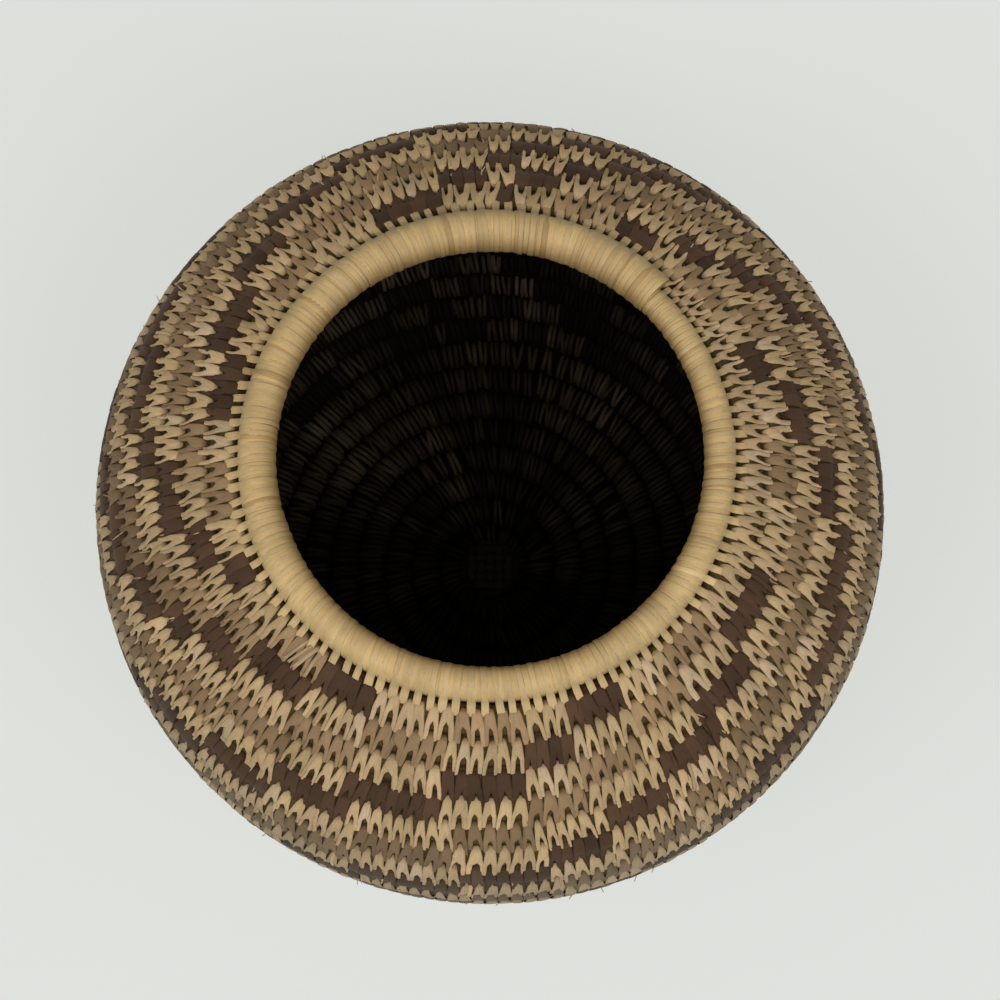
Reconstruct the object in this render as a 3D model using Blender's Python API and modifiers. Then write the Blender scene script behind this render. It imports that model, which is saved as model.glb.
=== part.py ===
"""A Papago (Tohono O'odham) coiled basket with a round belly, a narrow mouth and a bound rim.

One grass coil winds round a start knot, spreads into a flat base, turns up at the heel, swells to
the belly and closes in over the shoulder. Its tail thins out under a rim hoop, which is a bundle
of its own with a sleeve of close-set splints bound round it. The basket stands on its flat base
with its middle on the Z axis. Wall sizes are to the middle of the coil, and its rises are from the
base to the belly and from the belly to the mouth.
"""

import math

import bpy
from mathutils.geometry import intersect_point_line

# Driving sizes, in metres and degrees.
BASE_RADIUS = 0.058
HEEL_ARC_RADIUS = 0.022
BELLY_RADIUS = 0.1025
BELLY_RISE = 0.0806
BELLY_ARC_RADIUS = 0.0446
SHOULDER_ANGLE = 126.0
MOUTH_RADIUS = 0.0542
MOUTH_RISE = 0.0562
OVAL_RATIO = 1.005

# The coil: whole turns from the middle to the rim, and how its rows lie. It is an even spiral for
# its first turns, gets more level over the following turns, and climbs in a share of each turn.
TURNS = 28
START_TURNS = 0.8
EVEN_TURNS = 2
LEVEL_TURNS = 26
LEVELLING_SHARE = 0.55
CLOSING_SHARE = 1.0 / 6.0
SEAM_ANGLE = 45.0
COIL_GAP = 0.0006

# The start knot.
KNOT_RADIUS = 0.008
KNOT_DOME = 0.0008
KNOT_EDGE_ROUND = 0.0015

# The worn underside: the share of the coil's thickness that is flat on the ground.
FLAT_CUT_SHARE = 0.1
CUTTER_MARGIN = 0.01

# The rim hoop and its binding.
RIM_THIN_END = 0.0082
RIM_RIBS = 112
RIM_RIB_DEPTH = 0.00045
RIM_WALL = 0.0013
RIM_CORE_CLEARANCE = 0.0003

# Stretches of coil that reach the ground.
STANDING_COILS = ("base_coil", "heel_coil")

# Clearance between two ends of coil, and how much longer a bore is than its sleeve at each end.
END_GAP = 0.0003
BORE_OVERRUN = 0.0001

# Meshing.
MERGE_DISTANCE = 0.00001
POINTS_PER_TURN = 24
RIM_POINTS = 48
COIL_SIDES = 6
COIL_BEVEL_RESOLUTION = 1
RIM_BEVEL_RESOLUTION = 2
KNOT_STEPS = 32

# Colours as seen in the photograph, with roughness.
YUCCA = ((0.46, 0.37, 0.23), 0.72)
YUCCA_DARKER = ((0.40, 0.31, 0.19), 0.75)
YUCCA_WORN = ((0.36, 0.30, 0.20), 0.80)
BROWN_SPLINT = ((0.27, 0.17, 0.10), 0.70)
DEVILS_CLAW = ((0.075, 0.050, 0.038), 0.65)
BEARGRASS = ((0.42, 0.36, 0.17), 0.80)
STRAW = ((0.55, 0.43, 0.20), 0.55)


def smooth_step(value):
    """Ease from 0 to 1."""
    value = min(1.0, max(0.0, value))
    return value * value * (3.0 - 2.0 * value)


def wall_arcs():
    """Arcs of the wall's middle line from the axis to the mouth: name, length and bend per metre."""
    overhang = BELLY_RADIUS - BASE_RADIUS
    climb = BELLY_RISE - HEEL_ARC_RADIUS
    wall_radius = overhang**2 + climb**2 - HEEL_ARC_RADIUS**2
    wall_radius /= 2.0 * (overhang - HEEL_ARC_RADIUS)
    heel = math.atan2(wall_radius - overhang, climb)
    belly = math.radians(90.0)
    wall_length = wall_radius * (belly - heel)
    shoulder = math.radians(SHOULDER_ANGLE)
    belly_length = BELLY_ARC_RADIUS * (shoulder - belly)
    reach = MOUTH_RADIUS - BELLY_RADIUS + BELLY_ARC_RADIUS * (1.0 - math.sin(shoulder))
    rise = MOUTH_RISE + BELLY_ARC_RADIUS * math.cos(shoulder)
    bend = math.atan2(rise, reach) - shoulder
    shoulder_radius = math.hypot(reach, rise) / (2.0 * math.sin(bend))
    return [
        ("base_coil", BASE_RADIUS, 0.0),
        ("heel_coil", HEEL_ARC_RADIUS * heel, 1.0 / HEEL_ARC_RADIUS),
        ("lower_wall_coil", wall_length / 2.0, 1.0 / wall_radius),
        ("upper_wall_coil", wall_length / 2.0, 1.0 / wall_radius),
        ("belly_coil", belly_length, 1.0 / BELLY_ARC_RADIUS),
        ("shoulder_coil", 2.0 * bend * shoulder_radius, 1.0 / shoulder_radius),
    ]


ARCS = wall_arcs()
WALL_LENGTH = sum(length for _, length, _ in ARCS)
PITCH = (WALL_LENGTH - RIM_THIN_END) / (TURNS + 0.5 - LEVELLING_SHARE)
RIM_TAPER = (1.0 - LEVELLING_SHARE) * PITCH
COIL_DIAMETER = PITCH - COIL_GAP
COIL_ACROSS_FLATS = COIL_DIAMETER * math.cos(math.pi / COIL_SIDES)
BASE_HEIGHT = COIL_ACROSS_FLATS / 2.0 - COIL_DIAMETER * FLAT_CUT_SHARE


def wall_point(distance):
    """Radius, height and slope angle at a distance along the wall's middle line."""
    radius, height, angle = 0.0, BASE_HEIGHT, 0.0
    for name, length, bend in ARCS:
        step = distance if name == ARCS[-1][0] else min(distance, length)
        turned = angle + bend * step
        if bend:
            radius += (math.sin(turned) - math.sin(angle)) / bend
            height -= (math.cos(turned) - math.cos(angle)) / bend
        else:
            radius += step
        angle = turned
        distance -= step
        if distance <= 0.0:
            break
    return radius, height, angle


def courses_gained(turns):
    """Courses that the coil has climbed: an even spiral low down, steadier rows near the rim."""
    whole = min(math.floor(turns), TURNS - 1)
    part = turns - whole
    climb = smooth_step((part - 1.0 + CLOSING_SHARE) / CLOSING_SHARE)
    levelled = (turns - EVEN_TURNS) / (LEVEL_TURNS - EVEN_TURNS)
    level = LEVELLING_SHARE * min(1.0, max(0.0, levelled))
    return turns + level * (climb - part)


def coil_course(turns):
    """Distance along the wall and width of the row, for the coil after so many turns."""
    outer = PITCH * (courses_gained(turns) + 0.5)
    inner = max(outer - PITCH, KNOT_RADIUS)
    if turns > TURNS - 1:
        climb = smooth_step((turns - TURNS + CLOSING_SHARE) / CLOSING_SHARE)
        inner = PITCH * (courses_gained(turns - 1.0) + 0.5)
        outer = inner + PITCH * (1.0 - LEVELLING_SHARE * climb)
    return (inner + outer) / 2.0, outer - inner


def rim_course(part):
    """Distance along the wall and width of the rim hoop, after that part of its one turn."""
    width = RIM_THIN_END + RIM_TAPER * (1.0 - part)
    return WALL_LENGTH - width / 2.0, width


def place(distance, turns):
    """The point of the wall at that distance along it and so many turns round from the seam."""
    radius, height, angle = wall_point(distance)
    around = math.radians(SEAM_ANGLE) + 2.0 * math.pi * turns
    point = (radius * math.cos(around), OVAL_RATIO * radius * math.sin(around), height)
    return point, angle


def make_material(name, finish):
    """A plain dry fibre material."""
    colour, roughness = finish
    material = bpy.data.materials.new(name)
    material.use_nodes = True
    shader = material.node_tree.nodes["Principled BSDF"]
    shader.inputs["Base Color"].default_value = (*colour, 1.0)
    shader.inputs["Roughness"].default_value = roughness
    shader.inputs["Metallic"].default_value = 0.0
    material.diffuse_color = (*colour, 1.0)
    return material


def make_tube(name, stations, bevel_resolution, collection):
    """A closed tube through stations of point, wall slope and diameter, its sides set to the wall."""
    curve = bpy.data.curves.new(name, "CURVE")
    curve.dimensions = "3D"
    curve.twist_mode = "Z_UP"
    curve.bevel_depth = stations[0][2] / 2.0
    curve.bevel_resolution = bevel_resolution
    curve.use_fill_caps = True
    spline = curve.splines.new("POLY")
    spline.points.add(len(stations) - 1)
    for control, (point, slope, diameter) in zip(spline.points, stations):
        control.co = (*point, 1.0)
        control.tilt = -slope
        control.radius = diameter / stations[0][2]
    spline.use_smooth = True
    tube = bpy.data.objects.new(name, curve)
    collection.objects.link(tube)
    return tube


def pull_back(end, inner, length):
    """Move an end station towards its inner neighbour by a length."""
    run = math.dist(end[0], inner[0])
    share = length / run
    point = tuple(a + (b - a) * share for a, b in zip(end[0], inner[0]))
    return (point, end[1], end[2])


def coil_stations(first, last):
    """Stations of the coil between two turn counts, each end in the middle of a straight piece."""

    def station(step):
        turns = (step + 0.5) / POINTS_PER_TURN
        distance, width = coil_course(turns)
        point, slope = place(distance, turns)
        return (point, slope, width - COIL_GAP)

    def middle(step):
        before, after = station(step - 1), station(step)
        point = tuple((a + b) / 2.0 for a, b in zip(before[0], after[0]))
        return (point, (before[1] + after[1]) / 2.0, (before[2] + after[2]) / 2.0)

    first_step = round(first * POINTS_PER_TURN)
    last_step = round(last * POINTS_PER_TURN)
    stations = [station(step) for step in range(first_step, last_step)]
    stations.insert(0, pull_back(middle(first_step), stations[0], END_GAP / 2.0))
    stations.append(pull_back(middle(last_step), stations[-1], END_GAP / 2.0))
    return stations


def rim_stations(points, diameter_at, end_gap):
    """Stations once round the rim, with the diameter given by a function of step and row width."""
    stations = []
    for step in range(-1, points + 1):
        part = min(1.0, max(0.0, (step + 0.5) / points))
        distance, width = rim_course(part)
        point, slope = place(distance, part)
        stations.append((point, slope, diameter_at(step, width)))
    stations[0] = pull_back(stations[0], stations[1], end_gap / 2.0)
    stations[-1] = pull_back(stations[-1], stations[-2], end_gap / 2.0)
    return stations


def coil_sections():
    """Names and turn counts of the stretches of coil, which change where the wall changes."""
    sections = []
    start, reached = START_TURNS, 0.0
    for name, length, _ in ARCS:
        reached += length
        end = min(reached / PITCH, TURNS - CLOSING_SHARE)
        sections.append((name, start, end))
        start = end
    sections.append(("coil_tail", start, TURNS))
    return sections


def ring_gap(ring, other):
    """Least distance between the outlines of two rings of points."""
    least = math.inf
    for near, far in ((ring, other), (other, ring)):
        for point in near:
            for index, start in enumerate(far):
                end = far[(index + 1) % len(far)]
                foot, share = intersect_point_line(point, start, end)
                if share < 0.0:
                    foot = start
                elif share > 1.0:
                    foot = end
                least = min(least, (point - foot).length)
    return least


def least_gap(tube):
    """Least gap between one turn of a coil and the next, at its rings and halfway between them."""
    depsgraph = bpy.context.evaluated_depsgraph_get()
    evaluated = tube.evaluated_get(depsgraph)
    mesh = evaluated.to_mesh()
    count = len(tube.data.splines[0].points)
    points = [vertex.co.copy() for vertex in mesh.vertices[: count * COIL_SIDES]]
    evaluated.to_mesh_clear()
    rings = [points[i * COIL_SIDES : (i + 1) * COIL_SIDES] for i in range(count)]
    halfway = [[(a + b) / 2.0 for a, b in zip(*pair)] for pair in zip(rings, rings[1:])]
    pairs = list(zip(rings[1:], rings[1 + POINTS_PER_TURN : -1]))
    pairs += list(zip(halfway[1:], halfway[1 + POINTS_PER_TURN : -1]))
    return min((ring_gap(*pair) for pair in pairs), default=None)


def make_floor_cutter(cutters):
    """A slab whose top is the ground that the basket stands on."""
    side = 2.0 * (BELLY_RADIUS + CUTTER_MARGIN)
    bpy.ops.mesh.primitive_cube_add(size=1.0, location=(0.0, 0.0, -CUTTER_MARGIN / 2.0))
    slab = bpy.context.object
    slab.name = "floor_cutter"
    slab.scale = (side, side, CUTTER_MARGIN)
    for owner in list(slab.users_collection):
        owner.objects.unlink(slab)
    cutters.objects.link(slab)
    slab.hide_render = True
    slab.display_type = "WIRE"
    return slab


def make_coil(collection, floor):
    """The coil, in one unbroken tube for each stretch of the wall, worn flat where it stands."""
    finishes = {
        "base_coil": YUCCA_WORN,
        "heel_coil": YUCCA_DARKER,
        "lower_wall_coil": YUCCA,
        "upper_wall_coil": BROWN_SPLINT,
        "belly_coil": DEVILS_CLAW,
        "shoulder_coil": YUCCA,
        "coil_tail": YUCCA_DARKER,
    }
    for name, first, last in coil_sections():
        stations = coil_stations(first, last)
        tube = make_tube(name, stations, COIL_BEVEL_RESOLUTION, collection)
        tube.data.materials.append(make_material(name + "_splints", finishes[name]))
        bpy.context.view_layer.update()
        gap = least_gap(tube)
        if gap is not None:
            print(f"{name}: {last - first:.2f} turns, least gap to itself {gap * 1000:.2f} mm")
        if name in STANDING_COILS:
            cut(as_mesh_object(tube), floor)


def make_start_knot(collection):
    """The knot in the middle of the base, turned as a low button with a flat underside."""
    radius = KNOT_RADIUS - COIL_GAP
    height = BASE_HEIGHT + COIL_ACROSS_FLATS / 2.0
    edge = KNOT_EDGE_ROUND
    outline = [
        (0.0, 0.0),
        (radius - edge, 0.0),
        (radius, edge),
        (radius, height - edge),
        (radius - edge, height),
        (radius / 2.0, height + KNOT_DOME * 0.75),
        (0.0, height + KNOT_DOME),
    ]
    mesh = bpy.data.meshes.new("start_knot")
    edges = [(index, index + 1) for index in range(len(outline) - 1)]
    mesh.from_pydata([(r, 0.0, z) for r, z in outline], edges, [])
    knot = bpy.data.objects.new("start_knot", mesh)
    collection.objects.link(knot)
    screw = knot.modifiers.new("turn", "SCREW")
    screw.axis = "Z"
    screw.steps = KNOT_STEPS
    screw.render_steps = KNOT_STEPS
    screw.use_merge_vertices = True
    screw.merge_threshold = MERGE_DISTANCE
    screw.use_normal_calculate = True
    screw.use_smooth_shade = True
    mesh.materials.append(make_material("start_knot_splints", YUCCA))


def make_rim(collection, cutters):
    """The rim's grass bundle, and the ribbed sleeve of splints bound round it."""

    def core_diameter(_, width):
        return width - COIL_GAP - 2.0 * (RIM_WALL + RIM_CORE_CLEARANCE)

    def bore_diameter(_, width):
        return width - COIL_GAP - 2.0 * RIM_WALL

    def binding_diameter(step, width):
        return width - COIL_GAP - 2.0 * RIM_RIB_DEPTH * (step % 2)

    core = make_tube(
        "rim_core", rim_stations(RIM_POINTS, core_diameter, END_GAP), RIM_BEVEL_RESOLUTION, collection
    )
    core.data.materials.append(make_material("rim_core_beargrass", BEARGRASS))
    bore = make_tube(
        "rim_binding_bore",
        rim_stations(RIM_POINTS, bore_diameter, END_GAP - 2.0 * BORE_OVERRUN),
        RIM_BEVEL_RESOLUTION,
        cutters,
    )
    bore.hide_render = True
    bore.display_type = "WIRE"
    binding = make_tube(
        "rim_binding",
        rim_stations(2 * RIM_RIBS, binding_diameter, END_GAP),
        RIM_BEVEL_RESOLUTION,
        collection,
    )
    binding.data.materials.append(make_material("rim_binding_splints", STRAW))
    return binding, bore


def as_mesh_object(thing):
    """Replace a curve object by a mesh object of the same name."""
    bpy.context.view_layer.update()
    name, collection = thing.name, thing.users_collection[0]
    evaluated = thing.evaluated_get(bpy.context.evaluated_depsgraph_get())
    mesh = bpy.data.meshes.new_from_object(evaluated)
    hidden, display = thing.hide_render, thing.display_type
    bpy.data.objects.remove(thing)
    solid = bpy.data.objects.new(name, mesh)
    solid.hide_render, solid.display_type = hidden, display
    collection.objects.link(solid)
    return solid


def cut(solid, cutter):
    """Cut one mesh object out of another."""
    boolean = solid.modifiers.new("cut", "BOOLEAN")
    boolean.operation = "DIFFERENCE"
    boolean.solver = "EXACT"
    boolean.object = cutter


def main():
    for thing in list(bpy.data.objects):
        bpy.data.objects.remove(thing)
    basket = bpy.data.collections.new("papago_coiled_basket")
    cutters = bpy.data.collections.new("cutters")
    bpy.context.scene.collection.children.link(basket)
    bpy.context.scene.collection.children.link(cutters)
    cutters.hide_render = True

    make_start_knot(basket)
    make_coil(basket, make_floor_cutter(cutters))
    binding, bore = make_rim(basket, cutters)
    cut(as_mesh_object(binding), as_mesh_object(bore))
    print(f"coil pitch {PITCH * 1000:.2f} mm, wall length {WALL_LENGTH * 1000:.1f} mm")


main()
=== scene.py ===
"""The looks of the Papago (Tohono O'odham) coiled basket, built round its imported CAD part.

Every splint is a mesh strip of its own, laid on the wall that the CAD's coil follows. Turns count
the coil's turns from the start knot. v runs across a row of coil, from 0 at its edge towards the
rim to 1 at its edge towards the base, and q runs along a stitch, from its start to its end.
Arrays have a row for each stitch or splint and a column for each step along it.
"""

import math

import bpy
import numpy as np
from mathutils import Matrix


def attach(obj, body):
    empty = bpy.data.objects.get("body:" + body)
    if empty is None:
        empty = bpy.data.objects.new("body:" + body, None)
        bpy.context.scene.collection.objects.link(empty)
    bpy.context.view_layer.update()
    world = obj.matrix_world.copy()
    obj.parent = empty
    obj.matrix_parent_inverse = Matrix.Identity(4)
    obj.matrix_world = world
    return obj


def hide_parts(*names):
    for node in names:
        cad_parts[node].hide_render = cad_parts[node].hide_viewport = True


# The CAD part's own sizes, in metres and degrees.
BASE_RADIUS = 0.058
HEEL_ARC_RADIUS = 0.022
BELLY_RADIUS = 0.1025
BELLY_RISE = 0.0806
BELLY_ARC_RADIUS = 0.0446
SHOULDER_ANGLE = 126.0
MOUTH_RADIUS = 0.0542
MOUTH_RISE = 0.0562
OVAL_RATIO = 1.005
TURNS = 28
THIN_START_TURNS = 0.56
EVEN_TURNS = 2
LEVEL_TURNS = 26
LEVELLING_SHARE = 0.55
CLOSING_SHARE = 1.0 / 6.0
SEAM_ANGLE = 45.0
COIL_GAP = 0.0006
KNOT_RADIUS = 0.008
FLAT_CUT_SHARE = 0.1
RIM_THIN_END = 0.0082
COIL_SIDES = 6

# The grass under the splints, and how far the splints lie from the wall's middle.
GRASS_HALF_THICKNESS = 0.00300
GRASS_OVERLAP = 0.00025
CREST_HEIGHT = 0.00305
VALLEY_DEPTH = 0.0013
SPLINT_THICKNESS = 0.00036
THIN_ROW_HEIGHT = 0.62

# Sewing: the usual space between stitches, how they drift and scatter on their way down, and the
# teeth of the rim with the wraps for each.
STITCH_SPACE = 0.00325
STITCH_DRIFT = 0.0011
STITCH_SCATTER = 0.00017
LEAST_RADIUS = 0.004
RIM_TEETH = 120
WRAPS_PER_TOOTH = 3

# Stitches in the last turn that cross others: degrees clockwise from the right, and their slant.
LONG_STITCHES = np.array(
    [[129.8, 0.0], [130.8, -0.0024], [132.1, -0.0027], [133.5, -0.0022], [150.3, 0.0016]]
)
CROSSING_STITCHES = 40
FRAYED_ENDS = 260

# The pattern: block edges in degrees clockwise from the right, from the seam round to the seam,
# and the colour of each diagonal of blocks: D is dark, B brown and L light.
BLOCK_EDGES = np.array(
    [-42.1, -33.7, -25.4, -15.1, -2.9, 9.1, 22.9, 36.4, 50.7, 62.0, 74.2]
    + [84.4, 98.4, 114.2, 127.4, 140.7, 151.3, 158.1, 167.9, 179.9, 189.0, 203.3]
    + [216.9, 229.5, 245.4, 260.4, 270.0, 275.4, 282.9, 291.4, 298.9, 308.4, 317.9]
)
DIAGONALS = "BLDLBLDLBLDLBLDBLDLBLDLBLDLDLBLDL"
PLAIN_BLOCKS_IN_LAST_TURN = 7
PATTERN_TURNS = 19
BLOCK_DRIFT = 0.9

# Linear colours read: sewing splints, grass darkened as painted shade, the rim's straw and the inside
# as painted shade.
LIGHT = np.array([0.495, 0.347, 0.195])
YELLOW = np.array([0.475, 0.345, 0.165])
PALE = np.array([0.53, 0.39, 0.24])
BROWN = np.array([0.265, 0.173, 0.091])
DARK = np.array([0.068, 0.035, 0.018])
GREY = np.array([0.19, 0.165, 0.125])
# Grass: the beargrass's own brown, darkened to paint the shade in the gaps between stitches.
SHADED_GRASS = np.array([0.088, 0.057, 0.024])
STRAW = np.array([0.615, 0.430, 0.192])
# The inside's splints and grass: painted shade, near black.
SHADED_INSIDE = np.array([0.0195, 0.0150, 0.0090])
SHADED_INSIDE_GRASS = np.array([0.006, 0.004, 0.002])

rng = np.random.default_rng(20)


def smooth_step(value):
    """Ease from 0 to 1."""
    value = np.clip(value, 0.0, 1.0)
    return value * value * (3.0 - 2.0 * value)


def value_noise(x, seed):
    """Smooth one-way noise from -1 to 1, with a period of 1 in x."""
    source = np.random.default_rng(seed)
    total = np.zeros_like(np.asarray(x, float))
    for count, weight in ((3, 0.5), (7, 0.3), (13, 0.2)):
        phase = source.random() * 2.0 * math.pi
        total = total + weight * np.sin(2.0 * math.pi * count * x + phase)
    return total


def full_circle(count):
    """Even angles round a circle."""
    return np.linspace(0.0, 2.0 * math.pi, count, endpoint=False)


# The wall and the coil, by the CAD part's own formulas.


def wall_arcs():
    """Arcs of the wall's middle line from the axis to the mouth: name, length and bend per metre."""
    overhang = BELLY_RADIUS - BASE_RADIUS
    climb = BELLY_RISE - HEEL_ARC_RADIUS
    wall_radius = overhang**2 + climb**2 - HEEL_ARC_RADIUS**2
    wall_radius /= 2.0 * (overhang - HEEL_ARC_RADIUS)
    heel = math.atan2(wall_radius - overhang, climb)
    belly = math.radians(90.0)
    wall_length = wall_radius * (belly - heel)
    shoulder = math.radians(SHOULDER_ANGLE)
    belly_length = BELLY_ARC_RADIUS * (shoulder - belly)
    reach = MOUTH_RADIUS - BELLY_RADIUS + BELLY_ARC_RADIUS * (1.0 - math.sin(shoulder))
    rise = MOUTH_RISE + BELLY_ARC_RADIUS * math.cos(shoulder)
    bend = math.atan2(rise, reach) - shoulder
    shoulder_radius = math.hypot(reach, rise) / (2.0 * math.sin(bend))
    return [
        ("base_coil", BASE_RADIUS, 0.0),
        ("heel_coil", HEEL_ARC_RADIUS * heel, 1.0 / HEEL_ARC_RADIUS),
        ("lower_wall_coil", wall_length / 2.0, 1.0 / wall_radius),
        ("upper_wall_coil", wall_length / 2.0, 1.0 / wall_radius),
        ("belly_coil", belly_length, 1.0 / BELLY_ARC_RADIUS),
        ("shoulder_coil", 2.0 * bend * shoulder_radius, 1.0 / shoulder_radius),
    ]


ARCS = wall_arcs()
WALL_LENGTH = sum(length for _, length, _ in ARCS)
PITCH = (WALL_LENGTH - RIM_THIN_END) / (TURNS + 0.5 - LEVELLING_SHARE)
RIM_TAPER = (1.0 - LEVELLING_SHARE) * PITCH
COIL_DIAMETER = PITCH - COIL_GAP
COIL_ACROSS_FLATS = COIL_DIAMETER * math.cos(math.pi / COIL_SIDES)
BASE_HEIGHT = COIL_ACROSS_FLATS / 2.0 - COIL_DIAMETER * FLAT_CUT_SHARE


def wall_point(distance):
    """Radius, height and slope angle at distances along the wall's middle line."""
    distance = np.asarray(distance, float)
    radius = np.zeros_like(distance)
    height = np.full_like(distance, BASE_HEIGHT)
    angle = np.zeros_like(distance)
    left = distance.copy()
    for index, (_, length, bend) in enumerate(ARCS):
        step = left if index == len(ARCS) - 1 else np.minimum(left, length)
        if index:
            step = np.maximum(step, 0.0)
        turned = angle + bend * step
        if bend:
            radius = radius + (np.sin(turned) - np.sin(angle)) / bend
            height = height - (np.cos(turned) - np.cos(angle)) / bend
        else:
            radius = radius + step
        angle = turned
        left = left - step
    return radius, height, angle


def metres_round(distance):
    """Metres that one turn round the basket takes, at distances along the wall."""
    return 2.0 * math.pi * np.maximum(wall_point(distance)[0], LEAST_RADIUS)


def courses_gained(turns):
    """Courses that the coil has climbed: an even spiral low down, steadier rows near the rim."""
    whole = np.minimum(np.floor(turns), TURNS - 1)
    part = turns - whole
    climb = smooth_step((part - 1.0 + CLOSING_SHARE) / CLOSING_SHARE)
    level = LEVELLING_SHARE * np.clip((turns - EVEN_TURNS) / (LEVEL_TURNS - EVEN_TURNS), 0.0, 1.0)
    return turns + level * (climb - part)


def coil_course(turns):
    """Distance along the wall and width of the row, for the coil after so many turns."""
    turns = np.asarray(turns, float)
    outer = PITCH * (courses_gained(turns) + 0.5)
    inner = np.maximum(outer - PITCH, KNOT_RADIUS)
    climb = smooth_step((turns - TURNS + CLOSING_SHARE) / CLOSING_SHARE)
    last_inner = PITCH * (courses_gained(turns - 1.0) + 0.5)
    last = turns > TURNS - 1
    inner = np.where(last, last_inner, inner)
    outer = np.where(last, inner + PITCH * (1.0 - LEVELLING_SHARE * climb), outer)
    return (inner + outer) / 2.0, outer - inner


def coil_sections():
    """Names and turn counts of the stretches of coil, which change where the wall changes."""
    sections = []
    start, reached = THIN_START_TURNS, 0.0
    for name, length, _ in ARCS:
        reached += length
        end = min(reached / PITCH, TURNS - CLOSING_SHARE)
        sections.append((name, start, end))
        start = end
    sections.append(("coil_tail", start, TURNS))
    return sections


def rim_course(part):
    """Distance along the wall and width of the rim hoop, after that part of its one turn."""
    width = RIM_THIN_END + RIM_TAPER * (1.0 - part)
    return WALL_LENGTH - width / 2.0, width


def angle_round(turns):
    """Angle round the basket, anticlockwise from the right, in radians."""
    return math.radians(SEAM_ANGLE) + 2.0 * math.pi * turns


def clockwise_angle(turns):
    """Degrees clockwise from the right, as the pattern's edges are given."""
    return 360.0 - SEAM_ANGLE - 360.0 * turns


def place(distance, turns, offset):
    """Points that far along the wall, so many turns round from the seam and off the wall's middle."""
    radius, height, slope = wall_point(distance)
    around = angle_round(turns)
    out = radius + offset * np.sin(slope)
    x = out * np.cos(around)
    y = OVAL_RATIO * out * np.sin(around)
    z = height - offset * np.cos(slope)
    return np.stack([x, y, z], -1)


def facing(slope, turns):
    """Directions round the basket and out of a surface that leans by the slope angle."""
    slope, around = np.broadcast_arrays(slope, angle_round(turns))
    across = np.stack([-np.sin(around), np.cos(around), 0.0 * around], -1)
    out = np.stack(
        [np.sin(slope) * np.cos(around), np.sin(slope) * np.sin(around), -np.cos(slope)], -1
    )
    return across, out


def wall_axes(distance, turns):
    """Directions round the basket and out of its wall."""
    return facing(wall_point(distance)[2], turns)


def rim_axes(distance, turns, lean):
    """Directions round the rim and out of its hoop, where lean is the angle round the hoop."""
    return facing(wall_point(distance)[2] + math.pi / 2.0 - lean, turns)


def crown(v):
    """Height of the splints off the wall's middle across a row, which repeats from row to row."""
    away = np.abs((v % 1.0) - 0.5) * 2.0
    return CREST_HEIGHT - VALLEY_DEPTH * away**2.4


def worn_flat(points, lowest, ease=0.0006):
    """Press points under the basket flat on the ground that it stands on."""
    z = points[..., 2]
    pressed = lowest + ease * np.exp((z - lowest - ease) / ease)
    points[..., 2] = np.where(z < lowest + ease, pressed, z)


# Where every stitch goes.


def even_out(places, fixed, rounds=5):
    """Ease a falling run of places towards even spaces after a fixed one."""
    line = np.concatenate([[fixed], places])
    for _ in range(rounds):
        line[1:-1] += 0.5 * ((line[:-2] + line[2:]) / 2.0 - line[1:-1])
    return line[1:]


def next_turn(row):
    """Turn counts of the stitches one turn further down, and of the ends of this turn's legs.

    Each stitch asks for one below it. Where the spaces get too wide or too narrow, stitches are
    added in the widest or left out in the narrowest.
    """
    metres = metres_round(coil_course(row - 1.0)[0])
    drift = STITCH_DRIFT * value_noise(row / 2.0, 5)
    wanted = np.minimum.accumulate(row - 1.0 + drift / metres)
    spaces = -np.diff(np.concatenate([[row[-1]], wanted])) * metres
    spare = int(round(spaces.sum() / STITCH_SPACE)) - len(wanted)
    score = spaces * rng.uniform(0.9, 1.1, len(wanted))
    kept, owner = list(wanted), list(range(len(wanted)))
    if spare > 0:
        for index in sorted(np.argsort(-score)[:spare], reverse=True):
            before = row[-1] if index == 0 else wanted[index - 1]
            kept.insert(index, (before + wanted[index]) / 2.0)
            owner.insert(index, -1)
    elif spare < 0:
        for index in sorted(np.argsort(score)[:-spare], reverse=True):
            del kept[index]
            del owner[index]
    kept = even_out(np.array(kept), row[-1])
    kept = kept + rng.normal(0.0, STITCH_SCATTER, len(kept)) / np.interp(-kept, -wanted, metres)
    owner = np.array(owner)
    own = owner >= 0
    below = np.interp(-wanted, -wanted[owner[own]], kept[own])
    return kept, below + 1.0


def spread_stitches():
    """Turn counts of all stitches from the rim down, and where each one's legs end in the row below."""
    order = np.arange(RIM_TEETH, 0, -1)
    row = TURNS - 1 + order / RIM_TEETH + rng.normal(0.0, 0.0004, RIM_TEETH)
    turns, ends = [row], []
    while row[-1] >= THIN_START_TURNS:
        row, row_ends = next_turn(row)
        turns.append(row)
        ends.append(row_ends)
    # The innermost stitches have none below them and go straight in.
    ends.append(row)
    turns, ends = np.concatenate(turns), np.concatenate(ends)
    keep = turns > THIN_START_TURNS + 0.02
    return turns[keep], ends[keep]


def block_colour(turns):
    """The pattern's colour letter at each turn count. The seam itself belongs to the turn before."""
    whole = np.floor(turns - 1e-9)
    row = TURNS - 1 - whole
    clockwise = clockwise_angle(turns - whole)
    clockwise = clockwise + BLOCK_DRIFT * np.maximum(0.0, row - 2.0)
    turned = (clockwise >= BLOCK_EDGES[-1]).astype(float) - (clockwise < BLOCK_EDGES[0])
    row = row + turned
    block = np.searchsorted(BLOCK_EDGES, clockwise - 360.0 * turned, side="right")
    chart = np.array(list(DIAGONALS))
    colour = chart[((block - row) % len(chart)).astype(int)]
    plain = (row < 0) | ((row == 0) & (block <= PLAIN_BLOCKS_IN_LAST_TURN))
    plain |= turns < TURNS - PATTERN_TURNS
    return np.where(plain, "L", colour)


# Meshes of splint and grass. A section's points are shares of a strip's width and thickness.

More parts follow.
